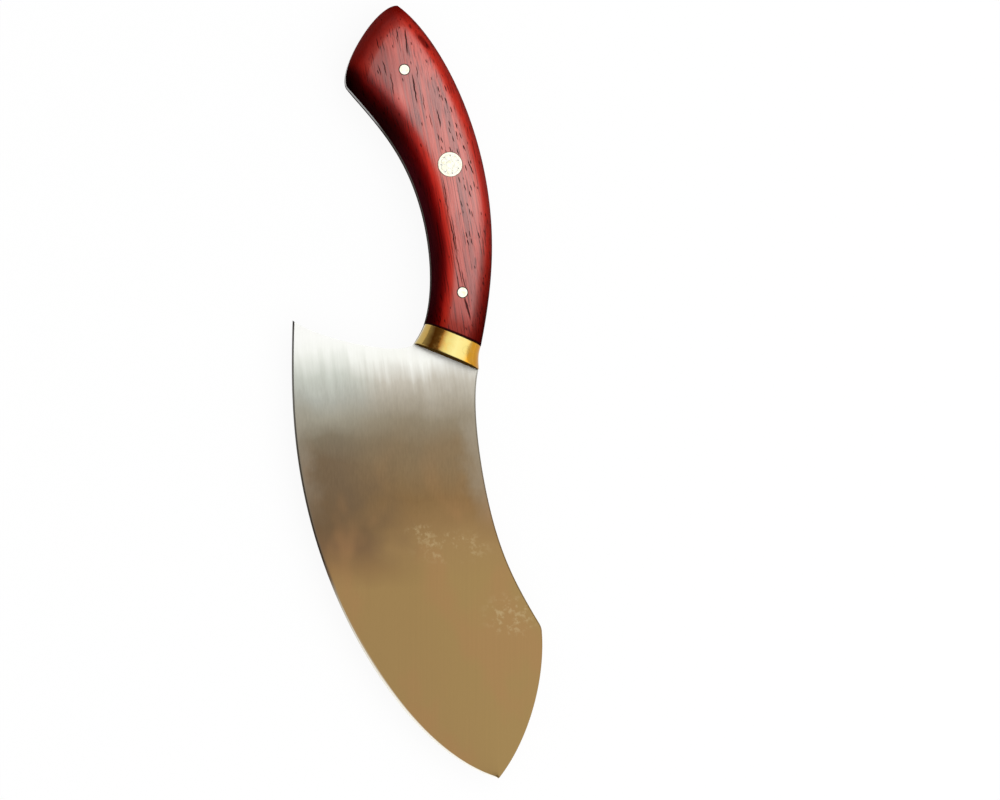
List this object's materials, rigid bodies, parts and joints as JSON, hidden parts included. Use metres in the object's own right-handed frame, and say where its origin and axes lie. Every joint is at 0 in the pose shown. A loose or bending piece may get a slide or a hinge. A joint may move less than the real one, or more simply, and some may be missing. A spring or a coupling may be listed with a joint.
{
  "type": "cleaver",
  "caption": "Kitchen cleaver with a broad swept steel blade, full tang, brass bolster and crowned red hardwood handle held by round pins.",
  "frame": {"origin": "under the middle of the bounding box, at the lowest point of the rear scale", "axes": "+Y from the blade to the butt, +X to the spine side, +Z square to the blade out of the front scale"},
  "size_m": [0.1004, 0.3088, 0.0232],
  "materials": {
    "blade_steel": "satin ground steel with fine lengthwise grind lines and a warm tone towards the tip",
    "handle_wood": "red hardwood with dark pores under clear gloss lacquer",
    "bolster_brass": "polished brass",
    "pin_nickel_silver": "polished nickel silver, ground flush",
    "pin_resin": "polished pale cast resin"
  },
  "bodies": {
    "root": {"blade": "blade_steel", "scale_front": "handle_wood", "scale_rear": "handle_wood", "bolster_front": "bolster_brass", "bolster_rear": "bolster_brass", "bolster_pin_1": "bolster_brass", "bolster_pin_2": "bolster_brass", "butt_pin": "pin_nickel_silver", "neck_pin": "pin_nickel_silver", "mosaic_tube": "pin_nickel_silver", "mosaic_centre_rod": "pin_nickel_silver", "mosaic_rod_1": "pin_nickel_silver", "mosaic_rod_2": "pin_nickel_silver", "mosaic_rod_3": "pin_nickel_silver", "mosaic_rod_4": "pin_nickel_silver", "mosaic_rod_5": "pin_nickel_silver", "mosaic_rod_6": "pin_nickel_silver", "mosaic_rod_7": "pin_nickel_silver", "mosaic_resin": "pin_resin"}
  },
  "joints": []
}
